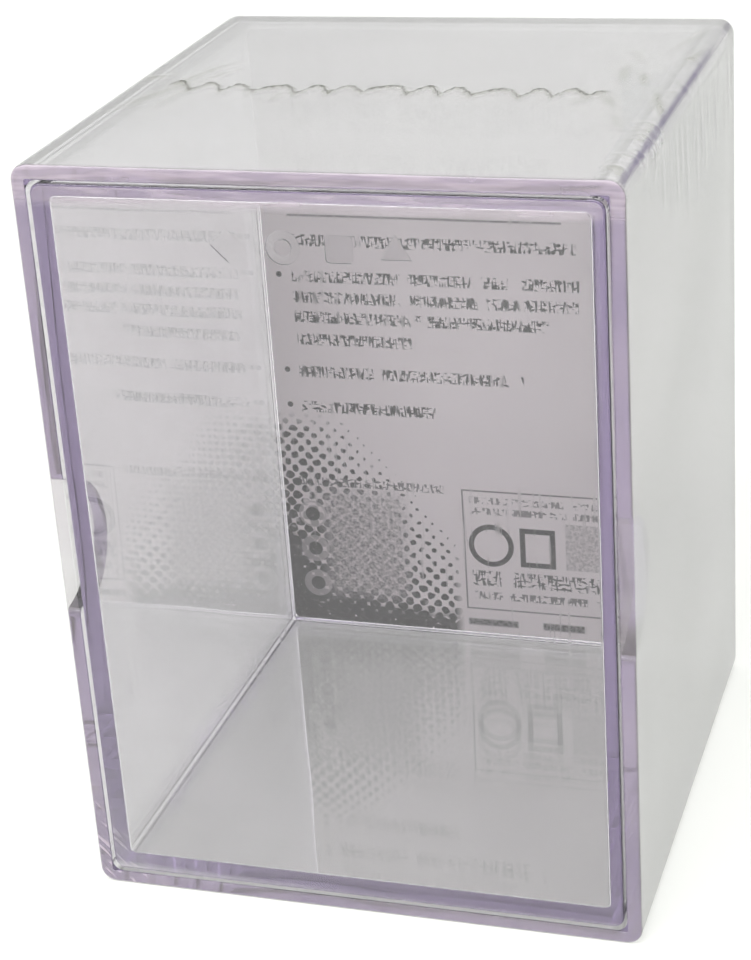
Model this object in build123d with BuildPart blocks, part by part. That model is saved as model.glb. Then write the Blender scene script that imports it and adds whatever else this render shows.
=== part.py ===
"""Two-piece clear card deck box: a drawn-out base tub inside an outer lid tub, with a printed
insert card and a shrink-film wrap that is slit round the joint.

Frame: the box stands on a narrow side. +Z is up, the base's plate faces -Y, and the origin is the
centre of the foot. Every tub is modelled along Y, between its mouth and its closed end.
"""

import os
from math import radians, tan

from build123d import *

# Cards that the box holds, and the room round them at the cavity's plate end
card_width = 63.5
card_height = 88.9
card_room_wide = 2.8
card_room_high = 3.9

# Moulded walls
base_wall = 1.9
plate_thick = 2.0
lid_rim_wall = 1.8
lid_back_wall = 1.9
mould_draft = 0.1  # degrees, on every wall that a core or a mould pulls from
mouth_gap = 0.15  # between the base's mouth and the lid round it, on each side
back_gap = 0.3  # between the base's mouth and the lid's back wall

# Overall depth of the closed box, and the shrink film that covers it
overall_depth = 75.0
film_thick = 0.1

# Corner and edge radii
lid_corner = 2.0
lid_back_edge = 0.8
lid_hollow_corner = 1.5
lid_floor_edge = 1.0
base_corner = 1.5
base_plate_edge = 0.3
cavity_corner = 0.8
cavity_floor_edge = 0.3
rim_edge = 0.3

# Half-round thumb notches in the lid's two tall side walls
notch_radius = 9.0
notch_lead = 1.2

# Engraved ornament near the plate's upper edge: four plain pips in a row
pip_size = 4.2
pip_pitch = 6.9
pip_depth = 0.2
pip_drop = 9.2  # from the top of the lid to the middle of the row
pip_corner = 0.5

# Printed insert card
insert_thick = 0.4
insert_side_room = 0.05  # on each side, where the cavity is narrowest
insert_foot_room = 0.1  # over the cavity's lower wall, where the cavity is narrowest
insert_head_room = 0.2
insert_corner = 1.0
insert_setback = 0.6  # from the base's mouth

# Zigzag bead where the film was sealed, across the top
seam_length = 60.0
seam_width = 0.6
seam_height = 0.35
seam_from_front = 34.5
seam_swing = 1.3
seam_steps = 28

# How far from a plane an edge may lie and still count as on it
on_plane = 0.01

# Worked out from the sizes above
front_y = -overall_depth / 2
lid_mouth_y = front_y + film_thick
lid_end_y = -front_y - film_thick
lid_floor_y = lid_end_y - lid_back_wall
lid_depth = lid_end_y - lid_mouth_y
hollow_depth = lid_floor_y - lid_mouth_y
base_mouth_y = lid_floor_y - back_gap
base_depth = base_mouth_y - lid_mouth_y
cavity_floor_y = lid_mouth_y + plate_thick
cavity_depth = base_mouth_y - cavity_floor_y

cavity_draft = tan(radians(mould_draft)) * cavity_depth
base_draft = tan(radians(mould_draft)) * base_depth
hollow_draft = tan(radians(mould_draft)) * hollow_depth

cavity_width = card_width + card_room_wide + 2 * cavity_draft
cavity_height = card_height + card_room_high + 2 * cavity_draft
base_width = cavity_width + 2 * base_wall
base_height = cavity_height + 2 * base_wall
hollow_width = base_width + 2 * mouth_gap + 2 * hollow_draft
hollow_height = base_height + 2 * mouth_gap + 2 * hollow_draft
lid_width = hollow_width + 2 * lid_rim_wall
lid_height = hollow_height + 2 * lid_rim_wall
mid_z = film_thick + lid_height / 2


def facing_front(y, z=mid_z):
    """Plane across the box at y, with its normal to the front, +X to the right and +Z up."""
    return Plane(origin=(0, y, z), x_dir=(1, 0, 0), z_dir=(0, -1, 0))


def facing_back(y):
    """Plane across the box at y, with its normal to the back."""
    return Plane(origin=(0, y, mid_z), x_dir=(-1, 0, 0), z_dir=(0, 1, 0))


def edges_at(block, y):
    """The edges of a block that lie in the plane across the box at y."""
    return block.edges().filter_by_position(Axis.Y, y - on_plane, y + on_plane)


def lid_outside(grow):
    """The lid's solid outer shape, or that shape grown by the film's thickness."""
    with BuildPart() as block:
        with BuildSketch(facing_back(lid_mouth_y - grow)):
            RectangleRounded(lid_width + 2 * grow, lid_height + 2 * grow, lid_corner + grow)
        extrude(amount=lid_depth + 2 * grow)
        fillet(edges_at(block, lid_end_y + grow), radius=lid_back_edge + grow)
        fillet(edges_at(block, lid_mouth_y - grow), radius=rim_edge + grow)
    return block.part


def lid_hollow():
    """The space inside the lid, which narrows towards the lid's back wall."""
    with BuildPart() as block:
        with BuildSketch(facing_back(lid_mouth_y)):
            RectangleRounded(hollow_width, hollow_height, lid_hollow_corner)
        extrude(amount=hollow_depth, taper=mould_draft)
        fillet(edges_at(block, lid_floor_y), radius=lid_floor_edge)
    return block.part


def base_cavity():
    """The space for the cards, which narrows towards the plate."""
    with BuildPart() as block:
        with BuildSketch(facing_front(base_mouth_y)):
            RectangleRounded(cavity_width, cavity_height, cavity_corner)
        extrude(amount=cavity_depth, taper=mould_draft)
        fillet(edges_at(block, cavity_floor_y), radius=cavity_floor_edge)
    return block.part


def pip_row():
    """A row of four plain pips: diamond, ring, rounded square and triangle."""
    with BuildSketch() as row:
        with Locations((-1.5 * pip_pitch, 0)):
            RegularPolygon(pip_size / 2, 4)
        with Locations((-0.5 * pip_pitch, 0)):
            Circle(pip_size / 2)
            Circle(pip_size / 4, mode=Mode.SUBTRACT)
        with Locations((0.5 * pip_pitch, 0)):
            RectangleRounded(0.8 * pip_size, 0.8 * pip_size, pip_corner)
        with Locations((1.5 * pip_pitch, 0)):
            RegularPolygon(pip_size / 2, 3, rotation=90)
    return row.sketch


def make_base():
    """The inner tub: its plate is the front of the closed box, and its mouth faces the back."""
    cavity = base_cavity()
    pips = pip_row()
    with BuildPart() as base:
        with BuildSketch(facing_front(base_mouth_y)):
            RectangleRounded(base_width, base_height, base_corner)
        extrude(amount=base_depth, taper=mould_draft)
        fillet(edges_at(base, lid_mouth_y), radius=base_plate_edge)
        add(cavity, mode=Mode.SUBTRACT)
        fillet(edges_at(base, base_mouth_y), radius=rim_edge)
        with BuildSketch(facing_front(lid_mouth_y, film_thick + lid_height - pip_drop)):
            add(pips)
        extrude(amount=-pip_depth, mode=Mode.SUBTRACT)
    base.part.label = "base"
    return base.part


def make_lid():
    """The outer tub: it slides over the base from the back, until its rim is level with the plate."""
    outside = lid_outside(0)
    hollow = lid_hollow()
    with BuildPart() as lid:
        add(outside)
        add(hollow, mode=Mode.SUBTRACT)
        with BuildSketch(Plane(origin=(-lid_width, lid_mouth_y, mid_z), x_dir=(0, 1, 0), z_dir=(1, 0, 0))):
            Circle(notch_radius)
            with Locations((-notch_lead, 0)):
                Rectangle(2 * notch_lead, 2 * (notch_radius + 2 * notch_lead))
            corners = vertices().filter_by_position(Axis.X, -on_plane, on_plane)
            corners = corners.filter_by_position(Axis.Y, -notch_radius - on_plane, notch_radius + on_plane)
            fillet(corners, radius=notch_lead)
        extrude(amount=2 * lid_width, mode=Mode.SUBTRACT)
    lid.part.label = "lid"
    return lid.part


def make_insert():
    """The printed card: it stands in the cavity near its mouth, just clear of its lower wall."""
    width = cavity_width - 2 * cavity_draft - 2 * insert_side_room
    height = cavity_height - 2 * cavity_draft - insert_foot_room - insert_head_room
    card_mid_z = mid_z + (insert_foot_room - insert_head_room) / 2
    with BuildPart() as insert:
        with BuildSketch(facing_front(base_mouth_y - insert_setback, card_mid_z)):
            RectangleRounded(width, height, insert_corner)
        extrude(amount=insert_thick)
    insert.part.label = "insert_card"
    return insert.part


def seam_bead():
    """The seal's bead: a strip along X whose middle line swings forward and back."""
    step = seam_length / seam_steps
    crests = []
    for i in range(seam_steps + 1):
        swing = seam_swing if i % 2 else -seam_swing
        crests.append((i * step - seam_length / 2, front_y + seam_from_front + swing))
    with BuildPart() as bead:
        with BuildSketch(Plane.XY.offset(film_thick + lid_height)):
            with BuildLine():
                front = Polyline(*[(x, y - seam_width / 2) for x, y in crests])
                back = Polyline(*[(x, y + seam_width / 2) for x, y in crests])
                Line(front @ 0, back @ 0)
                Line(front @ 1, back @ 1)
            make_face()
        extrude(amount=film_thick + seam_height)
    return bead.part


def make_film_wrap():
    """The film shrunk on the lid: five sides, the rim and across both notches, and the seal's bead."""
    outside = lid_outside(film_thick)
    inside = lid_outside(0)
    bead = seam_bead()
    with BuildPart() as film:
        add(outside)
        add(inside, mode=Mode.SUBTRACT)
        with BuildSketch(facing_back(front_y)):
            RectangleRounded(hollow_width, hollow_height, lid_hollow_corner)
        extrude(amount=2 * film_thick, mode=Mode.SUBTRACT)
        add(bead)
    film.part.label = "film_wrap"
    return film.part


def make_film_front():
    """The film left on the base's plate once the joint between the two tubs is slit."""
    inset = base_draft + base_plate_edge
    corner = base_corner - base_plate_edge
    with BuildPart() as film:
        with BuildSketch(facing_front(lid_mouth_y)):
            RectangleRounded(base_width - 2 * inset, base_height - 2 * inset, corner)
        extrude(amount=film_thick)
    film.part.label = "film_front"
    return film.part


def main():
    os.makedirs("parts", exist_ok=True)
    for part in (make_base(), make_lid(), make_insert(), make_film_wrap(), make_film_front()):
        export_step(part, f"parts/{part.label}.step")
    print("lid", round(lid_width, 2), "x", round(lid_depth, 2), "x", round(lid_height, 2))
    print("cavity", round(cavity_width, 2), "x", round(cavity_depth, 2), "x", round(cavity_height, 2))


main()
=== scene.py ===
"""Clear two-piece card deck box in slit shrink film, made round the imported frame.

Everything is in metres in the frame's own axes: +Z up, and the base's plate faces -Y.
"""

import math
import random

import bmesh
import bpy
from mathutils import Matrix, Vector


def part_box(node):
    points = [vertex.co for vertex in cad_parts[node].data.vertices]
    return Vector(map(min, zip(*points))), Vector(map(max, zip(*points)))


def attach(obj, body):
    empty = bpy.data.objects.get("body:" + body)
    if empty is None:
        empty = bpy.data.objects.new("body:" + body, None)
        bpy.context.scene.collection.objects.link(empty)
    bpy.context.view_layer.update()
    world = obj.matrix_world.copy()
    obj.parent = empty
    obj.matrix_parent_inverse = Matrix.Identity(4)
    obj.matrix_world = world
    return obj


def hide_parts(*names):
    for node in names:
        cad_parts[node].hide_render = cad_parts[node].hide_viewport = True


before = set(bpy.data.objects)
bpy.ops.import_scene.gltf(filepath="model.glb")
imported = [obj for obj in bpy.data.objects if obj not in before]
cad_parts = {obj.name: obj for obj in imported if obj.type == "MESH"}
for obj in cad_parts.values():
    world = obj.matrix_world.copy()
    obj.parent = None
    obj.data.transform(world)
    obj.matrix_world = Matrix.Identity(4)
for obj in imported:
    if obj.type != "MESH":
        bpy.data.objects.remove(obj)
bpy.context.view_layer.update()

MM = 0.001

# The mouldings' walls and radii, as in the design
RIM_WALL = 1.8 * MM
LID_BACK_WALL = 1.9 * MM
BASE_WALL = 1.9 * MM
PLATE = 2.0 * MM
DRAFT = math.tan(math.radians(0.1))
LID_CORNER = 2.0 * MM
LID_BACK_EDGE = 0.8 * MM
HOLLOW_CORNER = 1.5 * MM
LID_FLOOR_EDGE = 1.0 * MM
BASE_CORNER = 1.5 * MM
PLATE_EDGE = 0.3 * MM
CAVITY_CORNER = 0.8 * MM
CAVITY_FLOOR_EDGE = 0.3 * MM
RIM_EDGE = 0.3 * MM
NOTCH_RADIUS = 9.0 * MM
NOTCH_LEAD = 1.2 * MM
PIP_SIZE = 4.2 * MM
PIP_PITCH = 6.9 * MM
PIP_DEPTH = 0.2 * MM
PIP_DROP = 9.2 * MM
PIP_CORNER = 0.5 * MM
BROKEN_EDGE = 0.12 * MM  # the fine round that moulding leaves on a sharp edge
BASE_BROKEN_EDGE = 0.05 * MM
CARD_CORNER = 1.0 * MM
CARD_EDGE = 0.06 * MM

# The film as it looks: thinner than its solid, and loose by a hair
FILM_GAP = 0.04 * MM
FILM_THICK = 0.04 * MM
FILM_FINE_STEP = 0.58 * MM  # round the film, where it is creased
FILM_COARSE_STEP = 3.0 * MM
FILM_FINE_REACH = 34 * MM  # down the sides
FILM_DEPTH_STEP = 0.64 * MM
SEAM_DEPTH = 34.5 * MM  # from the front to the heat seal, along the top
SEAM_START = 6.0 * MM  # from the left edge
SEAM_END = 65.5 * MM
SEAM_PITCH = 4.9  # millimetres, as the fields below work in
SEAM_SWING = 1.6

# The clear plastic, and the pips' frosted floors
STYRENE_INDEX = 1.59
STYRENE_TINT = (0.18, 0.01, 0.38, 1.0)
STYRENE_DENSITY = 17.5  # of the absorption, per metre
PIP_ROUGHNESS = 0.25
PIP_ROW_REACH = 14.0  # millimetres either side of the middle
PIP_ROW_HALF = 3.0

# The film's colours: its milkiness, with painted light over its front, on its creases and along its top
# right edge
MILK = (0.76, 0.765, 0.75, 1.0)
# Over the front the milk is violet: painted light, the rim walls' violet glow showing through the film
RIM_GLOW_MILK = (0.74, 0.665, 0.73, 1.0)
# The creases' colours: pale on the sides, painted highlights of the ripples, and dark on the top, painted
# shade
PAINTED_FOLD_HIGHLIGHT = (0.85, 0.86, 0.86, 1.0)
PAINTED_FOLD_SHADE = (0.42, 0.43, 0.38, 1.0)
# Painted shade: a dark violet line along the film's top right edge
PAINTED_CORNER_SHADE = (0.3, 0.27, 0.38, 1.0)
SEAL_LINE = (0.2, 0.205, 0.175, 1.0)

# The print
BLACK_INK = (0.035, 0.033, 0.036, 1.0)
BLUE_INK = (0.1, 0.13, 0.2, 1.0)
PAPER_LOW = (0.91, 0.85, 0.865, 1.0)
PAPER_HIGH = (0.96, 0.905, 0.915, 1.0)

lid_low, lid_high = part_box("lid")
base_low, base_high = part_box("base")
card_low, card_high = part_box("insert_card")
wrap_low, wrap_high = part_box("film_wrap")
pane_low, pane_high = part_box("film_front")
MIDDLE_Z = (lid_low.z + lid_high.z) / 2


# ---------------------------------------------------------------- node fields


class Field:
    """A number that varies over a surface: one node output, with ordinary arithmetic."""

    def __init__(self, tree, socket):
        self.tree, self.socket = tree, socket

    def math(self, operation, *others, clamp=False):
        node = self.tree.nodes.new("ShaderNodeMath")
        node.operation, node.use_clamp = operation, clamp
        for slot, value in zip(node.inputs, (self, *others)):
            feed(self.tree, slot, value)
        return Field(self.tree, node.outputs[0])

    def __add__(self, other):
        return self.math("ADD", other)

    def __sub__(self, other):
        return self.math("SUBTRACT", other)

    def __mul__(self, other):
        return self.math("MULTIPLY", other)

    def __truediv__(self, other):
        return self.math("DIVIDE", other)

    def inverse(self):
        """1 minus the field."""
        return self * -1.0 + 1.0

    def above(self, limit, soft):
        """1 where the field is over limit, 0 under it, with a ramp soft wide."""
        return ((self - limit) * (1.0 / soft)).math("ADD", 0.5, clamp=True)

    def below(self, limit, soft):
        return self.above(limit, soft).inverse()

    def between(self, low, high, soft):
        return self.above(low, soft) * self.below(high, soft)

    def most(self, other):
        return self.math("MAXIMUM", other)


def feed(tree, slot, value):
    """Links a field to a socket, or sets the socket to a plain value."""
    if isinstance(value, Field):
        tree.links.new(value.socket, slot)
    else:
        slot.default_value = value


def new_material(name):
    """An empty node material, with its tree and its output node."""
    made = bpy.data.materials.new(name)
    made.use_nodes = True
    tree = made.node_tree
    tree.nodes.clear()
    return made, tree, tree.nodes.new("ShaderNodeOutputMaterial")


def object_axes(tree):
    """The point's place on its piece, in millimetres, as three fields."""
    place = tree.nodes.new("ShaderNodeTexCoord")
    split = tree.nodes.new("ShaderNodeSeparateXYZ")
    tree.links.new(place.outputs["Object"], split.inputs[0])
    return [Field(tree, out) / MM for out in split.outputs]


def noise(tree, x, y, z, detail=2.0, rough=0.5):
    """Smooth noise from 0 to 1 at the point (x, y, z), one lump per unit."""
    join = tree.nodes.new("ShaderNodeCombineXYZ")
    for slot, value in zip(join.inputs, (x, y, z)):
        feed(tree, slot, value)
    node = tree.nodes.new("ShaderNodeTexNoise")
    node.inputs["Scale"].default_value = 1.0
    node.inputs["Detail"].default_value = detail
    node.inputs["Roughness"].default_value = rough
    tree.links.new(join.outputs[0], node.inputs["Vector"])
    return Field(tree, node.outputs[0])


def bump(tree, height, strength, distance):
    """A normal bent by the field height, for a shader's Normal socket."""
    node = tree.nodes.new("ShaderNodeBump")
    node.inputs["Strength"].default_value = strength
    node.inputs["Distance"].default_value = distance
    feed(tree, node.inputs["Height"], height)
    return Field(tree, node.outputs[0])


def blend_colours(tree, share, first, second):
    """first where share is 0 and second where it is 1."""
    node = tree.nodes.new("ShaderNodeMix")
    node.data_type = "RGBA"
    feed(tree, node.inputs["Factor"], share)
    feed(tree, node.inputs["A"], first)
    feed(tree, node.inputs["B"], second)
    return Field(tree, node.outputs["Result"])


def mix_shaders(tree, share, first, second):
    """first where share is 0 and second where it is 1."""
    node = tree.nodes.new("ShaderNodeMixShader")
    feed(tree, node.inputs[0], share)
    tree.links.new(first.outputs[0], node.inputs[1])
    tree.links.new(second.outputs[0], node.inputs[2])
    return node


# ------------------------------------------------------------------ materials


def polystyrene(name, wave, scuff, frost=None):
    """Clear moulded polystyrene: violet through its length, a little wavy, finely scuffed. frost
    makes a field of roughness from the piece's x, y and z."""
    made, tree, out = new_material(name)
    x, y, z = object_axes(tree)
    shader = tree.nodes.new("ShaderNodeBsdfPrincipled")
    shader.inputs["Base Color"].default_value = (1.0, 1.0, 1.0, 1.0)
    shader.inputs["Transmission Weight"].default_value = 1.0
    shader.inputs["IOR"].default_value = STYRENE_INDEX
    waves = noise(tree, x / 28.0, y / 28.0, z / 28.0, detail=0.0) * wave
    scratches = noise(tree, x / 0.5, y / 0.5, z / 9.0, detail=1.0).above(0.66, 0.08)
    smears = noise(tree, x / 14.0, y / 14.0, z / 9.0, detail=1.0).above(0.5, 0.5)
    rough = scratches * smears * scuff
    if frost:
        rough = rough.most(frost(x, y, z))
    feed(tree, shader.inputs["Normal"], bump(tree, waves, 1.0, MM))
    feed(tree, shader.inputs["Roughness"], rough)
    tree.links.new(shader.outputs[0], out.inputs["Surface"])
    inside = tree.nodes.new("ShaderNodeVolumeAbsorption")
    inside.inputs["Color"].default_value = STYRENE_TINT
    inside.inputs["Density"].default_value = STYRENE_DENSITY
    tree.links.new(inside.outputs[0], out.inputs["Volume"])
    return made


def pip_frost(x, y, z):
    """Rough where the pips' floors are, just under the plate's face."""
    face, row = base_low.y / MM, (lid_high.z - PIP_DROP) / MM
    sunk = y.between(face + 0.12, face + 0.3, 0.02)
    in_row = box_field(x, z, (-PIP_ROW_REACH, row - PIP_ROW_HALF), (PIP_ROW_REACH, row + PIP_ROW_HALF))
    return sunk * in_row * PIP_ROUGHNESS


def film_seal(x, y, z):
    """The heat seal's thin uneven zigzag across the top, from 0 to 1."""
    across = x - lid_low.x / MM
    phase = across / SEAM_PITCH + (across * 0.43).math("SINE") * 0.12
    tooth = (phase * math.pi).math("SINE").math("ABSOLUTE") * 2.0 - 1.0
    swing = tooth * SEAM_SWING + (across * 1.7).math("SINE") * 0.3 + (across * 0.21).math("SINE") * 0.4
    swing = swing + (across * 6.1).math("SINE") * 0.16
    off = (y - (lid_low.y + SEAM_DEPTH) / MM - swing).math("ABSOLUTE")
    ends = across.between(SEAM_START / MM, SEAM_END / MM, 1.0) * z.above(lid_high.z / MM - 0.5, 0.1)
    patchy = (across * 0.93).math("SINE") * 0.2 + 0.8
    return off.below(0.28, 0.35) * ends * patchy


def film_streaks_and_glints(tree, x, y, z):
    """Milky streaks of the film over the front, painted highlights that stand in for the glints of crinkled
    film: along its top, where it catches light from overhead, and slanting in its lower left corner.
    """
    front = y.below(lid_low.y / MM + 0.1, 0.2)
    top = z.above(lid_high.z / MM - 4.6, 1.2)
    # Painted highlight: a brighter streaky band along the top of the front
    band = top * (noise(tree, x / 8.0, 2.0, z / 0.9, detail=1.0).above(0.56, 0.2) * 0.22 + 0.2)
    near = (x - lid_low.x / MM) * 0.8 + (z - lid_low.z / MM) * 0.5
    # Painted glints: slanting streaks in the lower left corner
    slanting = noise(tree, (x + z) / 0.8, 5.0, (z - x) / 5.0, detail=0.0).above(0.6, 0.1)
    return front * (band + near.below(6.5, 4.0) * slanting * 0.4)


def shrink_film(name, haze, crinkle, shine, grazing=0.0, sealed=False):
    """Thin film: it lets light straight through, mirrors at a slant, and is milky where it is creased and,
    by grazing, where it is seen at a slant, partly real haze and partly a painted sheen. Its creases are
    tinted with painted highlights on the sides and painted shade on the top; its front milk carries a
    painted violet glow, its top right edge a painted line of shade, and its front streaks are painted
    glints."""
    made, tree, out = new_material(name)
    x, y, z = object_axes(tree)
    clear = tree.nodes.new("ShaderNodeBsdfTransparent")
    clear.inputs["Color"].default_value = (0.985, 0.985, 0.985, 1.0)
    gloss = tree.nodes.new("ShaderNodeBsdfGlossy")
    milk = tree.nodes.new("ShaderNodeBsdfDiffuse")
    glow = tree.nodes.new("ShaderNodeBsdfTranslucent")
    slant = tree.nodes.new("ShaderNodeLayerWeight")
    slant.inputs["Blend"].default_value = 0.5
    edge_on = Field(tree, slant.outputs["Facing"])
    mirror = edge_on.math("POWER", 5.0) * 0.95 + shine
    cloud = noise(tree, x / 11.0, y / 16.0, z / 11.0, detail=1.0)
    ripple = noise(tree, x / 5.0, y / 9.0, z / 5.0, detail=3.0) * crinkle
    feed(tree, gloss.inputs["Normal"], bump(tree, ripple, 1.0, MM))
    feed(tree, gloss.inputs["Roughness"], cloud * 0.12 + 0.04)
    veil = (cloud + 0.5) * haze + film_streaks_and_glints(tree, x, y, z)
    # Over the front the milk takes a painted violet glow of the rim behind it
    over_front = y.below(lid_low.y / MM + 0.25, 0.3)
    tint = blend_colours(tree, over_front, MILK, RIM_GLOW_MILK)
    if sealed:
        mark = tree.nodes.new("ShaderNodeAttribute")
        mark.attribute_name = "crease"
        crease = Field(tree, mark.outputs["Fac"])
        sides = y.above((lid_low.y + 0.6 * MM) / MM, 0.3)
        # Where the film is seen at a slant its milk grows, more towards the right side: partly real haze,
        # partly a painted sheen
        loose = x.above(-15.0, 60.0) * 0.4 + 0.6
        veil = veil + edge_on.between(0.35, 2.0, 0.5) * sides * (cloud * 0.4 + 0.8) * loose * grazing
        veil = veil + sides.inverse() * (cloud * 0.2 + 0.02)
        seal = film_seal(x, y, z)
        veil = (veil + crease * 0.3).most(seal * 0.8)
        # Creases are painted: dark shade on the top and pale highlights on the sides
        aloft = z.above(lid_high.z / MM - 0.5, 0.2)
        painted_crease_tint = blend_colours(tree, aloft, PAINTED_FOLD_HIGHLIGHT, PAINTED_FOLD_SHADE)
        pale = blend_colours(tree, crease, tint, painted_crease_tint)
        # Painted shade: a dark violet line along the top right edge, broken up by the cloud
        corner = x.above(lid_high.x / MM - 0.85, 0.4) * z.above(lid_high.z / MM - 0.85, 0.4) * sides
        corner = corner * cloud.above(0.4, 0.3)
        veil = veil.most(corner * 0.5)
        pale = blend_colours(tree, corner, pale, PAINTED_CORNER_SHADE)
        tint = blend_colours(tree, seal, pale, SEAL_LINE)
    feed(tree, milk.inputs["Color"], tint)
    feed(tree, glow.inputs["Color"], tint)
    scatter = mix_shaders(tree, 0.6, milk, glow)
    milky = mix_shaders(tree, veil, clear, scatter)
    surface = mix_shaders(tree, mirror, milky, gloss)
    tree.links.new(surface.outputs[0], out.inputs["Surface"])
    return made


# The printed face, in millimetres from the card's lower left corner as its reader sees it.
# Each blank text line: left, right, middle, height, ink.
TEXT_LINES = [
    (4.1, 48.0, 63.9, 1.8, 1.0),
    (4.1, 48.4, 58.2, 1.8, 1.0),
    (4.1, 48.2, 54.9, 1.8, 0.95),
    (4.1, 43.6, 51.7, 1.8, 1.0),
    (4.1, 24.2, 48.1, 1.8, 1.0),
    (4.1, 39.5, 42.8, 1.8, 1.0),
    (4.1, 25.5, 37.0, 1.8, 1.0),
    (2.6, 26.0, 24.3, 1.4, 0.8),
    (30.0, 60.0, 22.9, 1.1, 0.7),
    (30.0, 60.0, 21.1, 1.1, 0.7),
    (30.2, 60.0, 6.6, 1.3, 0.8),
    (30.0, 60.0, 9.6, 2.6, 0.9),
    (6.0, 50.0, 80.0, 4.6, 0.6),
    (6.0, 44.0, 73.6, 2.4, 0.6),
]
# Short solid bars, by their lower left and upper right corners
BARS = [((29.0, 1.3), (37.0, 2.4)), ((41.0, 1.3), (47.6, 2.5)), ((53.0, 1.3), (60.5, 2.4))]
BULLETS = [(2.1, 64.2), (2.1, 58.4), (2.2, 43.0), (2.2, 37.2)]
ICONS = [(4.4, 18.6), (4.4, 12.6), (4.4, 6.5)]
DOT_PITCH = 1.62
BACK_LINES = [(58.0, 50.0, 3.4), (50.0, 43.5, 2.4), (54.0, 39.5, 2.4), (32.0, 35.5, 2.4)]


def scribble(tree, u, v):
    """Short strokes in word-long runs that spell nothing: the stuff that blank lines are made of."""
    upright = noise(tree, u * 2.5, v * 0.5, 3.1, detail=0.0).above(0.57, 0.12)
    level = noise(tree, u * 1.2, v * 2.6, 8.2, detail=0.0).above(0.62, 0.1)
    words = noise(tree, u * 0.42, v * 0.13, 5.5, detail=0.0).above(0.3, 0.04)
    return upright.most(level) * words


def blank_lines(u, v, lines):
    """Where the blank lines lie, from 0 to their ink."""
    cover = None
    for left, right, middle, height, ink in lines:
        line = box_field(u, v, (left, middle - height / 2), (right, middle + height / 2), soft=0.2) * ink
        cover = line if cover is None else cover.most(line)
    return cover


def disc(u, v, centre, radius, soft=0.12):
    """1 inside a circle."""
    du, dv = u - centre[0], v - centre[1]
    return (du * du + dv * dv).math("SQRT").below(radius, soft)


def ring(u, v, centre, radius, width):
    return disc(u, v, centre, radius) * disc(u, v, centre, radius - width).inverse()


def box_field(u, v, low, high, soft=0.12):
    return u.between(low[0], high[0], soft) * v.between(low[1], high[1], soft)


def halftone(tree, u, v):
    """Round dots on a grid turned 45 degrees, which swell to solid ink towards the lower left corner."""
    turned_u, turned_v = (u + v) * (0.7071 / DOT_PITCH), (v - u) * (0.7071 / DOT_PITCH)
    shake = noise(tree, u / 1.1, v / 1.1, 7.7, detail=1.0) * 0.5 - 0.25
    du = (turned_u + shake).math("FRACT") - 0.5
    dv = (turned_v - shake).math("FRACT") - 0.5
    reach = (du * du + dv * dv).math("SQRT")
    foot = (v * -0.4).math("EXPONENT") * 0.35
    tone = ((u * -0.026) + (v * -0.0225) + 1.08 + foot).math("MAXIMUM", 0.0)
    drift = noise(tree, u / 2.2, v / 2.2, 4.4, detail=2.0) * 0.7 + 0.65
    radius = (tone * drift).math("SQRT") * 0.6
    dots = (radius - reach).above(0.0, 0.1) * drift.above(0.86, 0.1)
    area = u.below(27.6, 1.5) * v.below(34.5, 3.0)
    lower = (v * -0.35).math("EXPONENT") * 1.3
    left = (u * -0.3).math("EXPONENT") * v.below(17.0, 10.0)
    smudge = (lower + left) * drift
    flecks = noise(tree, u / 0.7, v / 0.7, 3.3, detail=1.0).above(0.36, 0.12)
    return (dots + smudge.above(0.5, 0.4) * flecks).math("MINIMUM", 1.0) * area


def print_field(tree, u, v):
    """How much ink lies at (u, v) on the printed face, from 0 to 1."""
    ink = halftone(tree, u, v)
    wash = box_field(u, v, (6.5, 5.0), (19.5, 23.0), soft=3.0)
    speckle = noise(tree, u / 0.5, v / 0.5, 2.0, detail=2.0).above(0.5, 0.25)
    ink = ink * (wash * -0.75 + 1.0) + wash * (speckle * 0.45 + 0.1)
    for centre in ICONS:
        ink = ink * (disc(u, v, centre, 2.3) * -0.4 + 1.0)
        ink = ink.most(disc(u, v, centre, 1.2))
        ink = ink.most(ring(u, v, centre, 2.3, 0.35) * 0.4)
    ink = ink.most(blank_lines(u, v, TEXT_LINES) * scribble(tree, u, v))
    for centre in BULLETS:
        ink = ink.most(disc(u, v, centre, 0.45))
    for low, high in BARS:
        ink = ink.most(box_field(u, v, low, high, soft=0.3) * (speckle * 0.3 + 0.7))
    ink = ink.most(box_field(u, v, (4.1, 67.6), (46.0, 67.95)) * 0.8)
    ink = ink.most(hollow_box(u, v, (28.8, 4.1), (61.0, 24.6), 0.25) * 0.8)
    ink = ink.most(ring(u, v, (33.2, 15.3), 3.6, 0.85))
    ink = ink.most(hollow_box(u, v, (37.8, 12.0), (43.4, 18.6), 0.85))
    return ink.most(box_field(u, v, (45.0, 12.0), (60.0, 19.8)) * (speckle * 0.35 + 0.12))


def hollow_box(u, v, low, high, width):
    inside = box_field(u, v, (low[0] + width, low[1] + width), (high[0] - width, high[1] - width))
    return box_field(u, v, low, high) * inside.inverse()


def card_stock(tree, out, u, v, ink, inks=BLACK_INK):
    """Coated white card under black ink, both a little rough, with the paper's tooth showing."""
    fibres = noise(tree, u / 0.25, v / 0.35, 1.0, detail=3.0)
    wear = noise(tree, u / 0.6, v / 0.6, 5.0, detail=3.0).above(0.3, 0.25) * 0.25 + 0.75
    paper = blend_colours(tree, fibres, PAPER_LOW, PAPER_HIGH)
    shader = tree.nodes.new("ShaderNodeBsdfPrincipled")
    feed(tree, shader.inputs["Base Color"], blend_colours(tree, ink * wear, paper, inks))
    feed(tree, shader.inputs["Roughness"], ink * -0.15 + 0.5)
    shader.inputs["IOR"].default_value = 1.45
    feed(tree, shader.inputs["Normal"], bump(tree, fibres, 0.3, 0.03 * MM))
    tree.links.new(shader.outputs[0], out.inputs["Surface"])


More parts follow.
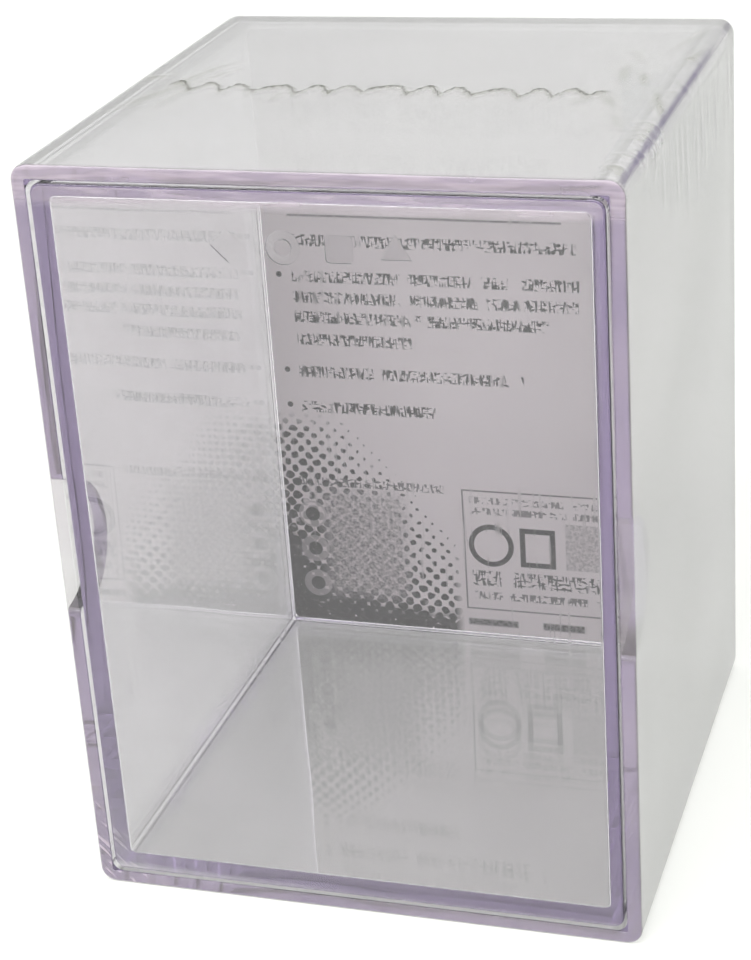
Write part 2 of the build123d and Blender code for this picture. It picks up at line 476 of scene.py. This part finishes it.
def printed_front(name):
    """The card's face: text, marks, a framed panel and a halftone picture, none of it legible."""
    made, tree, out = new_material(name)
    x, y, z = object_axes(tree)
    u, v = x - card_low.x / MM, z - card_low.z / MM
    block = box_field(u, v, (55.0, 71.5), (66.5, 87.0), soft=0.6)
    inks = blend_colours(tree, block, BLACK_INK, BLUE_INK)
    card_stock(tree, out, u, v, print_field(tree, u, v).most(block), inks)
    return made


def printed_back(name):
    """The card's back: a band of lattice over four blank lines."""
    made, tree, out = new_material(name)
    x, y, z = object_axes(tree)
    u, v = x * -1.0 + card_high.x / MM, z - card_low.z / MM
    lattice = ((u + v) / 5.0).math("FRACT").between(0.44, 0.56, 0.04)
    lattice = lattice.most(((u - v) / 5.0 + 40.0).math("FRACT").between(0.44, 0.56, 0.04))
    ink = box_field(u, v, (0.0, 60.0), (66.0, 84.0)) * lattice.inverse() * 0.85
    rows = [(8.0, right, middle, height, 0.75) for right, middle, height in BACK_LINES]
    ink = ink.most(blank_lines(u, v, rows) * scribble(tree, u, v))
    card_stock(tree, out, u, v, ink)
    return made


def light_table(name):
    """The floor: a matt pale sheet, softly lit from beneath round the object and behind it."""
    made, tree, out = new_material(name)
    x, y, z = object_axes(tree)
    grain = noise(tree, x / 60.0, y / 60.0, z, detail=3.0)
    shader = tree.nodes.new("ShaderNodeBsdfPrincipled")
    pale = blend_colours(tree, grain, (0.345, 0.35, 0.34, 1.0), (0.365, 0.37, 0.36, 1.0))
    lit = y.above(-125.0, 90.0)
    feed(tree, shader.inputs["Base Color"], blend_colours(tree, lit, (0.36, 0.36, 0.35, 1.0), pale))
    shader.inputs["Roughness"].default_value = 0.75
    shader.inputs["Emission Color"].default_value = (0.985, 1.0, 0.955, 1.0)
    under = (x * x + y * y).math("SQRT").below(75.0, 60.0)
    feed(tree, shader.inputs["Emission Strength"], lit * 0.26 + under * 0.2)
    tree.links.new(shader.outputs[0], out.inputs["Surface"])
    return made


# --------------------------------------------------------------------- meshes


def outline(half_width, half_height, corner, y, steps=12):
    """Points round a rounded rectangle across the box at y, anticlockwise from the front."""
    corner = max(corner, 0.04 * MM)
    points = []
    for quarter, (sx, sz) in enumerate(((1, -1), (1, 1), (-1, 1), (-1, -1))):
        cx, cz = sx * (half_width - corner), sz * (half_height - corner)
        for i in range(steps + 1):
            angle = math.radians(90 * (quarter - 1) + 90 * i / steps)
            x, z = cx + corner * math.cos(angle), cz + corner * math.sin(angle)
            points.append(Vector((x, y, MIDDLE_Z + z)))
    return points


def round_over(y_face, toward, size, radius, sign=1, steps=8):
    """Stations of a rounded edge from a wall to the face at y_face. toward is the way to the face
    along Y. sign is 1 where the outline shrinks towards the face, and -1 where it grows."""
    stations = []
    for i in range(steps + 1):
        angle = math.radians(90 * i / steps)
        shrink = sign * radius * (1 - math.cos(angle))
        y = y_face - toward * radius * (1 - math.sin(angle))
        stations.append((size[0] - shrink, size[1] - shrink, size[2] - shrink, y))
    return stations


def less(size, amount):
    """An outline's half width, half height and corner, drawn in by amount; the corner stays."""
    return (size[0] - amount, size[1] - amount, size[2])


def tub(name, stations):
    """A closed solid from outlines that follow each other from the outer face to the inner floor."""
    shape = bmesh.new()
    rings = [[shape.verts.new(p) for p in outline(*station)] for station in stations]
    count = len(rings[0])
    for ring_a, ring_b in zip(rings, rings[1:]):
        for i in range(count):
            j = (i + 1) % count
            shape.faces.new((ring_a[i], ring_a[j], ring_b[j], ring_b[i]))
    shape.faces.new(rings[0])
    shape.faces.new(rings[-1])
    return finish_mesh(name, shape)


def finish_mesh(name, shape):
    """Turns a bmesh into a linked object with smooth faces that all look outwards."""
    bmesh.ops.recalc_face_normals(shape, faces=shape.faces)
    mesh = bpy.data.meshes.new(name)
    shape.to_mesh(mesh)
    shape.free()
    mesh.polygons.foreach_set("use_smooth", [True] * len(mesh.polygons))
    made = bpy.data.objects.new(name, mesh)
    bpy.context.scene.collection.objects.link(made)
    return made


def prism(name, points, direction):
    """A closed block: a flat outline pushed along direction."""
    shape = bmesh.new()
    near = [shape.verts.new(p) for p in points]
    far = [shape.verts.new(p + direction) for p in points]
    for i in range(len(points)):
        j = (i + 1) % len(points)
        shape.faces.new((near[i], near[j], far[j], far[i]))
    shape.faces.new(near)
    shape.faces.new(far)
    return finish_mesh(name, shape)


def cut(made, cutters):
    """Takes the cutters out of a piece and keeps the result as the piece's own mesh."""
    for cutter in cutters:
        carve = made.modifiers.new("carve", "BOOLEAN")
        carve.operation, carve.solver, carve.object = "DIFFERENCE", "EXACT", cutter
    bake_modifiers(made)
    for cutter in cutters:
        bpy.data.objects.remove(cutter)


def bake_modifiers(made):
    """Applies every modifier to the piece's mesh."""
    bpy.context.view_layer.update()
    evaluated = made.evaluated_get(bpy.context.evaluated_depsgraph_get())
    mesh = bpy.data.meshes.new_from_object(evaluated)
    made.modifiers.clear()
    old = made.data
    made.data = mesh
    bpy.data.meshes.remove(old)


def break_edges(made, width):
    """Rounds the sharp edges by a hair and evens out the shading round them."""
    bevel = made.modifiers.new("broken edges", "BEVEL")
    bevel.width, bevel.segments, bevel.limit_method = width, 3, "ANGLE"
    bevel.angle_limit = math.radians(40)
    bevel.use_clamp_overlap = True
    even = made.modifiers.new("even shading", "WEIGHTED_NORMAL")
    even.keep_sharp = False
    bake_modifiers(made)


def finish_piece(made, material, body, replaced=None):
    """Gives a piece its material and the body it rides on, and hides the CAD node that it stands for."""
    made.data.materials.clear()
    made.data.materials.append(material)
    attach(made, body)
    if replaced:
        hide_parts(replaced)


def notch_cutter(name, x_start, width):
    """The half-round thumb notch with flared lips, as a block across one wall."""
    lip = 1.2 * (NOTCH_RADIUS + NOTCH_LEAD)
    ahead = -4 * NOTCH_LEAD
    widest = math.pi / 2 - math.asin(NOTCH_LEAD / NOTCH_RADIUS)
    arc = [math.radians(a) for a in range(-84, 85, 4)]
    middle = [(NOTCH_RADIUS * math.cos(a), NOTCH_RADIUS * math.sin(a)) for a in arc if abs(a) < widest]
    profile = [(ahead, -lip)] + lip_curve(-1) + middle + lip_curve(1)[::-1] + [(ahead, lip)]
    points = [Vector((x_start, lid_low.y + depth, MIDDLE_Z + height)) for depth, height in profile]
    return prism(name, points, Vector((width, 0, 0)))


def lip_curve(side, steps=6):
    """The round where the notch's arc meets the lid's rim, from the rim inwards, as depth and height."""
    reach = math.sqrt((NOTCH_RADIUS + NOTCH_LEAD) ** 2 - NOTCH_LEAD**2)
    centre = Vector((NOTCH_LEAD, reach))
    inner = centre * (NOTCH_RADIUS / (NOTCH_RADIUS + NOTCH_LEAD))
    start, end = Vector((0.0, reach)), inner
    points = []
    for i in range(steps + 1):
        chord = start.lerp(end, i / steps) - centre
        place = centre + chord.normalized() * NOTCH_LEAD
        points.append((place.x, side * place.y))
    return points


def pip_cutters():
    """Blocks for the four engraved pips: diamond, ring, rounded square and triangle."""
    face = Vector((0, base_low.y - 2 * PIP_DEPTH, lid_high.z - PIP_DROP))
    depth = Vector((0, 3 * PIP_DEPTH, 0))
    half = PIP_SIZE / 2

    def polygon(name, place, radius, count, turn):
        centre = face + Vector((place * PIP_PITCH, 0, 0))
        angles = [math.radians(turn) + 2 * math.pi * i / count for i in range(count)]
        points = [centre + Vector((radius * math.cos(a), 0, radius * math.sin(a))) for a in angles]
        return prism(name, points, depth)

    ring_block = polygon("pip_ring", -0.5, half, 64, 0)
    cut(ring_block, [polygon("pip_ring_core", -0.5, half / 2, 48, 0)])
    square_centre = face + Vector((0.5 * PIP_PITCH, 0, 0))
    lift = Vector((0, 0, MIDDLE_Z))
    rounded = outline(0.4 * PIP_SIZE, 0.4 * PIP_SIZE, PIP_CORNER, 0, steps=6)
    square = [square_centre + p - lift for p in rounded]
    return [
        polygon("pip_diamond", -1.5, half, 4, 0),
        ring_block,
        prism("pip_square", square, depth),
        polygon("pip_triangle", 1.5, half, 3, 90),
    ]


# --------------------------------------------------------------- the mouldings


def make_lid(material):
    """The outer tub, open at the front, with a thumb notch in each tall side wall."""
    outer = (lid_high.x, (lid_high.z - lid_low.z) / 2, LID_CORNER)
    mouth = (outer[0] - RIM_WALL, outer[1] - RIM_WALL, HOLLOW_CORNER)
    floor_y = lid_high.y - LID_BACK_WALL
    floor = less(mouth, DRAFT * (floor_y - lid_low.y))
    stations = round_over(lid_high.y, 1, outer, LID_BACK_EDGE)[::-1]
    stations += round_over(lid_low.y, -1, outer, RIM_EDGE, steps=4)
    stations += [(*mouth, lid_low.y)]
    stations += round_over(floor_y, 1, floor, LID_FLOOR_EDGE)
    made = tub("lid_moulding", stations)
    reach = 2 * RIM_WALL
    left = notch_cutter("notch_left", lid_low.x - RIM_WALL, reach)
    right = notch_cutter("notch_right", lid_high.x - reach + RIM_WALL, reach)
    cut(made, [left, right])
    break_edges(made, BROKEN_EDGE)
    finish_piece(made, material, "lid", "lid")
    return made


def make_base(material):
    """The inner tub, whose plate is the front of the closed box, with the row of engraved pips."""
    depth = base_high.y - base_low.y
    outer = (base_high.x, (base_high.z - base_low.z) / 2, BASE_CORNER)
    plate = less(outer, DRAFT * depth)
    cavity = (outer[0] - BASE_WALL, outer[1] - BASE_WALL, CAVITY_CORNER)
    floor_y = base_low.y + PLATE
    floor = less(cavity, DRAFT * (base_high.y - floor_y))
    stations = round_over(base_low.y, -1, plate, PLATE_EDGE)[::-1]
    stations += round_over(base_high.y, 1, outer, RIM_EDGE, steps=4)
    stations += round_over(base_high.y, 1, cavity, RIM_EDGE, sign=-1, steps=4)[::-1]
    stations += round_over(floor_y, -1, floor, CAVITY_FLOOR_EDGE)
    made = tub("base_moulding", stations)
    cut(made, pip_cutters())
    break_edges(made, BASE_BROKEN_EDGE)
    finish_piece(made, material, "base", "base")
    return made


def make_card(face, reverse):
    """The printed insert card, with rounded corners and crisp cut edges."""
    size = ((card_high.x - card_low.x) / 2, (card_high.z - card_low.z) / 2, CARD_CORNER)
    lift = Vector((0, 0, (card_low.z + card_high.z) / 2 - MIDDLE_Z))
    points = [p + lift for p in outline(*size, card_low.y)]
    made = prism("insert_card_sheet", points, Vector((0, card_high.y - card_low.y, 0)))
    break_edges(made, CARD_EDGE)
    finish_piece(made, face, "insert", "insert_card")
    made.data.materials.append(reverse)
    for polygon in made.data.polygons:
        polygon.material_index = 1 if polygon.normal.y > 0.9 else 0
    return made


# -------------------------------------------------------------------- the film


def spread(start, end, step):
    """Evenly spaced values from start up to but not including end, at most step apart."""
    count = max(1, math.ceil(abs(end - start) / step - 1e-9))
    return [start + (end - start) * i / count for i in range(count)]


def film_outline(size, y):
    """Points round the film at y with their unrolled place: 0 at the top left corner, the top edge's
    length at the top right one, and so on down the right side; the left side counts down from 0."""
    half_width, half_height, corner = size
    corner = max(corner, 0.3 * MM)
    flat_w, flat_h = half_width - corner, half_height - corner
    quarter = math.pi / 2 * corner
    fine, coarse = FILM_FINE_STEP, FILM_COARSE_STEP
    points = []

    def side(start, end, parts, roll_start):
        whole = (end - start).length
        for a, b, step in parts:
            for t in spread(a, b, step):
                points.append((start + (end - start) * (t / whole), roll_start + t))

    def bend(cx, cz, angle, roll_start):
        for i in range(8):
            turn = i / 8
            a = math.radians(angle - 90 * turn)
            place = Vector((cx + corner * math.cos(a), 0, cz + corner * math.sin(a)))
            points.append((place, roll_start + quarter * turn))

    top, tall = 2 * flat_w, 2 * flat_h
    near = FILM_FINE_REACH
    side(Vector((-flat_w, 0, half_height)), Vector((flat_w, 0, half_height)), [(0, top, fine)], 0.0)
    bend(flat_w, flat_h, 90, top)
    roll = top + quarter
    right_parts = [(0, near, fine), (near, tall, coarse)]
    side(Vector((half_width, 0, flat_h)), Vector((half_width, 0, -flat_h)), right_parts, roll)
    bend(flat_w, -flat_h, 0, roll + tall)
    roll += tall + quarter
    side(Vector((flat_w, 0, -half_height)), Vector((-flat_w, 0, -half_height)), [(0, top, coarse)], roll)
    bend(-flat_w, -flat_h, -90, roll + top)
    left_end = -quarter
    side(
        Vector((-half_width, 0, -flat_h)), Vector((-half_width, 0, flat_h)),
        [(0, tall - near, coarse), (tall - near, tall, fine)], left_end - tall,
    )
    bend(-flat_w, flat_h, -180, left_end)
    return [(p + Vector((0, y, MIDDLE_Z)), roll_at) for p, roll_at in points]


def make_wrinkles():
    """Creases of the film as (start, end, height, width), in millimetres on the unrolled wrap:
    across from the top's left edge, and back from the front."""
    marks = [
        ((3.0, 22.0), (9.5, 40.0), 0.22, 1.0),
        ((8.5, 24.0), (10.0, 37.0), 0.16, 0.7),
        ((7.0, 36.0), (11.5, 48.5), 0.2, 0.8),
        ((9.5, 36.5), (13.5, 45.0), 0.16, 0.6),
        ((1.0, 38.5), (5.5, 40.5), 0.25, 0.8),
        ((64.0, 36.5), (68.0, 27.5), 0.2, 0.9),
        ((67.5, 28.0), (70.0, 18.5), 0.14, 0.8),
        ((63.5, 57.0), (67.0, 50.0), 0.14, 0.8),
        ((67.5, 46.0), (69.0, 39.0), 0.28, 0.5),
        ((70.5, 38.0), (74.0, 25.0), 0.3, 0.45),
        ((64.5, 50.0), (66.0, 40.0), 0.2, 0.9),
        ((69.0, 54.0), (72.5, 70.0), 0.14, 0.9),
        ((72.0, 48.0), (73.5, 60.0), 0.18, 0.7),
    ]
    rng = random.Random(7)
    seam = SEAM_DEPTH / MM
    for _ in range(15):  # the crumpled stretch of the top right edge, near the front
        depth = rng.uniform(2.0, 26.0)
        across = rng.uniform(70.0, 73.5)
        length = rng.uniform(2.5, 6.0)
        end = (across + length, depth - rng.uniform(0.5, 3.0))
        marks.append(((across, depth), end, rng.uniform(0.12, 0.3), rng.uniform(0.3, 0.55)))
    for _ in range(9):  # and fainter ones further back along it
        depth = rng.uniform(26.0, 66.0)
        across = rng.uniform(71.0, 73.5)
        length = rng.uniform(1.5, 3.5)
        end = (across + length, depth - rng.uniform(-1.5, 2.5))
        marks.append(((across, depth), end, rng.uniform(0.06, 0.14), rng.uniform(0.3, 0.6)))
    for _ in range(24):  # upright ripples at the head of the right side
        depth = rng.uniform(20.0, 70.0)
        top = 75.5 + rng.uniform(0.0, 3.0)
        length = rng.uniform(5.0, 17.0)
        end = (top + length, depth + rng.uniform(-2.0, 2.0))
        marks.append(((top, depth), end, rng.uniform(0.03, 0.08), rng.uniform(0.35, 0.8)))
    for _ in range(14):  # the same on the left side, gathered towards the seam
        depth = rng.uniform(24.0, 48.0)
        top = -0.5 - rng.uniform(0.0, 3.0)
        length = rng.uniform(5.0, 18.0)
        end = (top - length, depth + (depth - 36.0) * 0.3)
        marks.append(((top, depth), end, rng.uniform(0.04, 0.09), rng.uniform(0.4, 0.9)))
    for _ in range(16):  # short puckers that leave the seam on both sides
        across = rng.uniform(8.0, 64.0)
        way = rng.choice((-1, 1))
        start = (across, seam + way * 0.6)
        end = (across + rng.uniform(-1.5, 1.5), seam + way * rng.uniform(2.5, 6.0))
        marks.append((start, end, rng.uniform(0.05, 0.12), rng.uniform(0.5, 0.9)))
    return marks


def seam_line(across):
    """Depth of the heat seal from the front at a place across the top, in millimetres: an uneven zigzag."""
    phase = across / SEAM_PITCH + 0.12 * math.sin(across * 0.43)
    tooth = abs(math.sin(math.pi * phase)) * 2 - 1
    uneven = 0.3 * math.sin(across * 1.7) + 0.4 * math.sin(across * 0.21) + 0.16 * math.sin(across * 6.1)
    return SEAM_DEPTH / MM + SEAM_SWING * tooth + uneven


def film_rise(roll, depth, wrinkles):
    """How far the film stands off at a place on the unrolled wrap, in millimetres."""
    rise = 0.0
    for (ax, ay), (bx, by), height, width in wrinkles:
        dx, dy = bx - ax, by - ay
        along = ((roll - ax) * dx + (depth - ay) * dy) / (dx * dx + dy * dy)
        if -0.3 < along < 1.3:
            near = min(max(along, 0.0), 1.0)
            off = math.hypot(roll - ax - near * dx, depth - ay - near * dy)
            if off < 3 * width:
                taper = math.sin(math.pi * min(max(along * 0.9 + 0.05, 0), 1))
                rise += height * taper * math.exp(-((off / width) ** 2))
    if SEAM_START / MM < roll < SEAM_END / MM:
        ends = min(roll - SEAM_START / MM, SEAM_END / MM - roll, 1.5) / 1.5
        off = depth - seam_line(roll)
        rise += ends * (0.3 * math.exp(-((off / 0.42) ** 2)) + 0.1 * math.exp(-((off / 1.6) ** 2)))
    return rise


def reaches(wrinkle, depth):
    """Whether a wrinkle lifts the film anywhere at this depth."""
    (_, start), (_, end), _, width = wrinkle
    return min(start, end) - 3 * width < depth < max(start, end) + 3 * width


def make_wrap(material):
    """The film on the lid: one closed skin over five sides and the rim, heat-sealed along the top."""
    wrinkles = make_wrinkles()
    half = (lid_high.x + FILM_GAP, (lid_high.z - lid_low.z) / 2 + FILM_GAP, LID_CORNER + FILM_GAP)
    front, back = lid_low.y - FILM_GAP, lid_high.y + FILM_GAP
    slit = RIM_WALL - 0.05 * MM
    edge = RIM_EDGE + FILM_GAP
    stations = [(less_all(half, s), front) for s in spread(slit, edge, 0.35 * MM)]
    stations += [(size[:3], size[3]) for size in round_over(front, -1, half, edge, steps=4)][::-1]
    for y in spread(front + edge, back - LID_BACK_EDGE - FILM_GAP, FILM_DEPTH_STEP)[1:]:
        stations.append((half, y))
    rounded = round_over(back, 1, half, LID_BACK_EDGE + FILM_GAP, steps=6)
    stations += [(size[:3], size[3]) for size in rounded]
    shape = bmesh.new()
    crease = shape.verts.layers.float.new("crease")
    rings = []
    for size, y in stations:
        row = []
        depth = (y - front) / MM
        near = [w for w in wrinkles if reaches(w, depth)]
        for (p, roll), (q, _) in zip(film_outline(size, y), film_outline(less_all(size, 0.1 * MM), y)):
            rise = film_rise((roll + LID_CORNER) / MM, depth, near)
            away = (p - q).normalized() if y < back - LID_BACK_EDGE else Vector((0, 0, 0))
            corner = shape.verts.new(p + away * rise * MM)
            corner[crease] = min(rise / 0.3, 1.0)
            row.append(corner)
        rings.append(row)
    count = len(rings[0])
    last = rings[-1]
    middle = sum((v.co for v in last), Vector()) / count
    for t in (0.92, 0.8, 0.6, 0.35, 0.12):
        rings.append([shape.verts.new(middle.lerp(v.co, t)) for v in last])
    for ring_a, ring_b in zip(rings, rings[1:]):
        for i in range(count):
            j = (i + 1) % count
            shape.faces.new((ring_a[i], ring_a[j], ring_b[j], ring_b[i]))
    shape.faces.new(rings[-1])
    made = finish_mesh("film_wrap_skin", shape)
    thicken = made.modifiers.new("film thickness", "SOLIDIFY")
    thicken.thickness, thicken.offset = FILM_THICK, 1.0
    bake_modifiers(made)
    finish_piece(made, material, "lid", "film_wrap")
    return made


def less_all(size, amount):
    """An outline drawn in by amount, its corner with it."""
    return (size[0] - amount, size[1] - amount, size[2] - amount)


def make_pane(material):
    """The film on the plate, cut a hair inside the plate's edge."""
    half = (pane_high.x, (pane_high.z - pane_low.z) / 2, BASE_CORNER - PLATE_EDGE)
    outer_y = base_low.y - FILM_GAP - FILM_THICK
    made = prism("film_front_skin", outline(*half, outer_y), Vector((0, FILM_THICK, 0)))
    finish_piece(made, material, "base", "film_front")
    return made


# ------------------------------------------------------- floor, light, camera


# The floor's rings as radius and height, in metres
FLOOR_SIDES = 64
FLOOR_RINGS = ((0.02, 0), (0.3, 0), (1.2, 0), (2.6, 0), (3.2, 0.05), (3.6, 0.2))

# The room's light by direction
ROOM = (0.98, 0.98, 0.97, 1.0)
ROOM_BEHIND = (0.86, 0.865, 0.855, 1.0)
ROOM_AHEAD = (1.8, 1.78, 1.79, 1.0)
ROOM_HIGH_AHEAD = (5.2, 5.15, 5.15, 1.0)


def make_floor():
    """A wide plain floor with a soft rise at its rim, far outside the view."""
    shape = bmesh.new()
    rings = []
    turns = [2 * math.pi * i / FLOOR_SIDES for i in range(FLOOR_SIDES)]
    for radius, height in FLOOR_RINGS:
        rings.append([shape.verts.new((radius * math.cos(a), radius * math.sin(a), height)) for a in turns])
    for ring_a, ring_b in zip(rings, rings[1:]):
        for i in range(FLOOR_SIDES):
            j = (i + 1) % FLOOR_SIDES
            shape.faces.new((ring_a[i], ring_a[j], ring_b[j], ring_b[i]))
    shape.faces.new(rings[0])
    floor = finish_mesh("floor", shape)
    if floor.data.polygons[0].normal.z < 0:
        floor.data.flip_normals()
    floor.data.materials.append(light_table("light_table"))


def add_softbox(name, place, aim, size, power):
    """A square lamp at place that faces aim."""
    lamp = bpy.data.lights.new(name, "AREA")
    lamp.shape, lamp.size, lamp.size_y = "RECTANGLE", size, size
    lamp.energy = power
    made = bpy.data.objects.new(name, lamp)
    made.location = place
    made.rotation_euler = (Vector(aim) - Vector(place)).to_track_quat("-Z", "Y").to_euler()
    bpy.context.scene.collection.objects.link(made)


def make_light():
    """A bright plain room, brighter high up in front, and a large soft lamp overhead."""
    world = bpy.data.worlds.new("soft_room")
    bpy.context.scene.world = world
    world.use_nodes = True
    tree = world.node_tree
    tree.nodes.clear()
    out = tree.nodes.new("ShaderNodeOutputWorld")
    glow = tree.nodes.new("ShaderNodeBackground")
    way = tree.nodes.new("ShaderNodeTexCoord")
    split = tree.nodes.new("ShaderNodeSeparateXYZ")
    tree.links.new(way.outputs["Generated"], split.inputs[0])
    ahead, height = Field(tree, split.outputs["Y"]), Field(tree, split.outputs["Z"])
    behind = ahead.above(0.2, 0.8) * height.below(0.75, 0.5)
    front = ahead.below(-0.15, 0.7) * height.above(0.55, 0.35)
    room = blend_colours(tree, behind, ROOM, ROOM_BEHIND)
    facing = ahead.below(-0.15, 0.7) * height.above(0.4, 0.16)
    room = blend_colours(tree, facing, room, ROOM_AHEAD)
    feed(tree, glow.inputs["Color"], blend_colours(tree, front, room, ROOM_HIGH_AHEAD))
    glow.inputs["Strength"].default_value = 1.0
    tree.links.new(glow.outputs[0], out.inputs["Surface"])
    add_softbox("overhead", (-0.25, -0.2, 0.95), (0, 0, 0.05), 0.9, 3.0)


# How the box is seen: angles in degrees, and distances in widths of the box
VIEW_AZIMUTH = 18.68
VIEW_ELEVATION = 24.08
VIEW_ROLL = -4.05
VIEW_DISTANCE = 4.327
VIEW_ASIDE = -0.0806
VIEW_UP = -0.0598
LENS = 88.57


def make_camera():
    """The camera, turned to the reference's angle and rolled a little."""
    azimuth, elevation, roll = (math.radians(a) for a in (VIEW_AZIMUTH, VIEW_ELEVATION, VIEW_ROLL))
    level_reach = math.cos(elevation)
    back = Vector((math.sin(azimuth) * level_reach, -math.cos(azimuth) * level_reach, math.sin(elevation)))
    level = (-back).cross(Vector((0, 0, 1))).normalized()
    upright = level.cross(-back)
    right = level * math.cos(roll) + upright * math.sin(roll)
    up = upright * math.cos(roll) - level * math.sin(roll)
    width = wrap_high.x - wrap_low.x
    place = (back * VIEW_DISTANCE + right * VIEW_ASIDE + up * VIEW_UP) * width
    place += Vector((0, 0, (lid_low.z + lid_high.z) / 2))
    lens = bpy.data.cameras.new("view")
    lens.lens, lens.sensor_width, lens.sensor_fit = LENS, 36.0, "AUTO"
    lens.clip_start, lens.clip_end = 0.01, 20.0
    camera = bpy.data.objects.new("view", lens)
    camera.matrix_world = Matrix((
        (right.x, up.x, back.x, place.x),
        (right.y, up.y, back.y, place.y),
        (right.z, up.z, back.z, place.z),
        (0, 0, 0, 1),
    ))
    bpy.context.scene.collection.objects.link(camera)
    bpy.context.scene.camera = camera


def set_up_render():
    """Plain colours, and enough bounces for a stack of clear walls."""
    scene = bpy.context.scene
    scene.view_settings.view_transform = "Standard"
    scene.cycles.max_bounces = 32
    scene.cycles.transmission_bounces = 32
    scene.cycles.transparent_max_bounces = 24
    scene.cycles.glossy_bounces = 16
    scene.cycles.diffuse_bounces = 4
    scene.cycles.volume_bounces = 0
    scene.cycles.adaptive_threshold = 0.03


def main():
    clear_lid = polystyrene("lid_polystyrene", wave=0.12, scuff=0.18)
    clear_base = polystyrene("base_polystyrene", wave=0.12, scuff=0.12, frost=pip_frost)
    wrap_film = shrink_film("wrap_film", haze=0.03, crinkle=0.14, shine=0.035, grazing=0.24, sealed=True)
    pane_film = shrink_film("pane_film", haze=0.006, crinkle=0.05, shine=0.012)
    make_lid(clear_lid)
    make_base(clear_base)
    make_card(printed_front("insert_print"), printed_back("insert_reverse"))
    make_wrap(wrap_film)
    make_pane(pane_film)
    make_floor()
    make_light()
    make_camera()
    set_up_render()


main()
